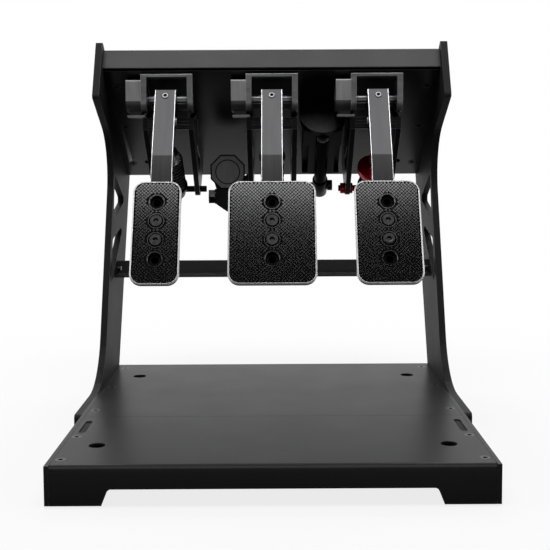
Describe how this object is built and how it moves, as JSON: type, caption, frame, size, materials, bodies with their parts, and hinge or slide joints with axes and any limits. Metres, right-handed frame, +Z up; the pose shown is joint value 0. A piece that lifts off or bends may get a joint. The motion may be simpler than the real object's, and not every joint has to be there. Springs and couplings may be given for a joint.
{
  "type": "sim racing pedal set",
  "caption": "Hanging sim racing pedal set: clutch, brake and throttle arms under a sloped deck, on a floor base with S-shaped side plates.",
  "frame": {"origin": "on the floor, under the middle of the overall box", "axes": "+X to the driver's right, +Y from the driver to the back, +Z up"},
  "size_m": [0.42, 0.545, 0.446],
  "materials": {
    "coated_steel": "matte",
    "coated_plate": "matte",
    "rubber": "matte",
    "moulded_box": "satin",
    "black_screws": "satin",
    "dark_housing": "satin",
    "dark_anodised": "satin",
    "red_anodised": "satin",
    "grey_anodised": "satin",
    "bright_steel": "polished",
    "knurled_face": "textured",
    "spring_steel": "satin"
  },
  "bodies": {
    "frame": {"base_front_cover": "coated_steel", "base_rear_cover": "coated_steel", "base_side_rails": "coated_steel", "base_cross_members": "coated_steel", "rubber_feet": "rubber", "left_side_plate": "coated_plate", "right_side_plate": "coated_plate", "pedal_deck": "coated_plate", "deck_brackets": "coated_steel", "top_hood": "coated_steel", "rear_crossbar": "coated_steel", "controller_box": "moulded_box", "frame_screws": "black_screws", "haptic_can": "dark_housing", "haptic_bracket": "dark_anodised", "damper_block": "dark_anodised", "damper_barrel": "dark_housing", "throttle_seat_bushes": "red_anodised", "clutch_yoke": "grey_anodised", "clutch_cheeks": "dark_anodised", "clutch_brace": "dark_anodised", "clutch_bearings": "bright_steel", "clutch_sensor": "dark_housing", "clutch_rear_seat": "grey_anodised", "clutch_spring": "spring_steel", "brake_yoke": "grey_anodised", "brake_cheeks": "dark_anodised", "brake_brace": "dark_anodised", "brake_bearings": "bright_steel", "brake_sensor": "dark_housing", "brake_rear_seat": "grey_anodised", "brake_elastomers": "rubber", "throttle_yoke": "grey_anodised", "throttle_cheeks": "dark_anodised", "throttle_brace": "dark_anodised", "throttle_bearings": "bright_steel", "throttle_sensor": "dark_housing", "throttle_rear_seat": "grey_anodised", "throttle_spring": "spring_steel"},
    "clutch_pedal": {"clutch_arm": "grey_anodised", "clutch_axle": "bright_steel", "clutch_face": "knurled_face", "clutch_arm_screws": "black_screws", "clutch_clevis_pin": "bright_steel"},
    "clutch_pushrod": {"clutch_rod": "bright_steel", "clutch_nuts": "bright_steel"},
    "brake_pedal": {"brake_arm": "grey_anodised", "brake_axle": "bright_steel", "brake_face": "knurled_face", "brake_arm_screws": "black_screws", "brake_clevis_pin": "bright_steel"},
    "brake_pushrod": {"brake_rod": "bright_steel", "brake_nuts": "bright_steel"},
    "throttle_pedal": {"throttle_arm": "grey_anodised", "throttle_axle": "bright_steel", "throttle_face": "knurled_face", "throttle_arm_screws": "black_screws", "throttle_clevis_pin": "bright_steel"},
    "throttle_pushrod": {"throttle_rod": "bright_steel", "throttle_nuts": "red_anodised"}
  },
  "joints": [
    {"name": "clutch_press", "type": "hinge", "parent": "frame", "child": "clutch_pedal", "pos_m": [-0.126, 0.0806, 0.37841], "axis": [1, 0, 0], "range_deg": [0, 20], "stiffness_Nm_per_rad": 30, "springref_deg": -6.88, "deforming": ["clutch_spring"]},
    {"name": "clutch_link", "type": "hinge", "parent": "clutch_pedal", "child": "clutch_pushrod", "pos_m": [-0.126, 0.05373, 0.35154], "axis": [1, 0, 0], "range_deg": [-20, 0]},
    {"name": "brake_press", "type": "hinge", "parent": "frame", "child": "brake_pedal", "pos_m": [0, 0.0806, 0.37841], "axis": [1, 0, 0], "range_deg": [0, 9], "stiffness_Nm_per_rad": 150, "springref_deg": -1.72, "deforming": ["brake_elastomers"]},
    {"name": "brake_link", "type": "hinge", "parent": "brake_pedal", "child": "brake_pushrod", "pos_m": [0, 0.05373, 0.35154], "axis": [1, 0, 0], "range_deg": [-9, 0]},
    {"name": "throttle_press", "type": "hinge", "parent": "frame", "child": "throttle_pedal", "pos_m": [0.126, 0.0806, 0.37841], "axis": [1, 0, 0], "range_deg": [0, 20], "stiffness_Nm_per_rad": 22, "springref_deg": -8.59, "deforming": ["throttle_spring"]},
    {"name": "throttle_link", "type": "hinge", "parent": "throttle_pedal", "child": "throttle_pushrod", "pos_m": [0.126, 0.05373, 0.35154], "axis": [1, 0, 0], "range_deg": [-20, 0]}
  ],
  "couplings": [
    {"joint": "clutch_link", "follows": "clutch_press", "ratio": -1},
    {"joint": "brake_link", "follows": "brake_press", "ratio": -1},
    {"joint": "throttle_link", "follows": "throttle_press", "ratio": -1}
  ]
}
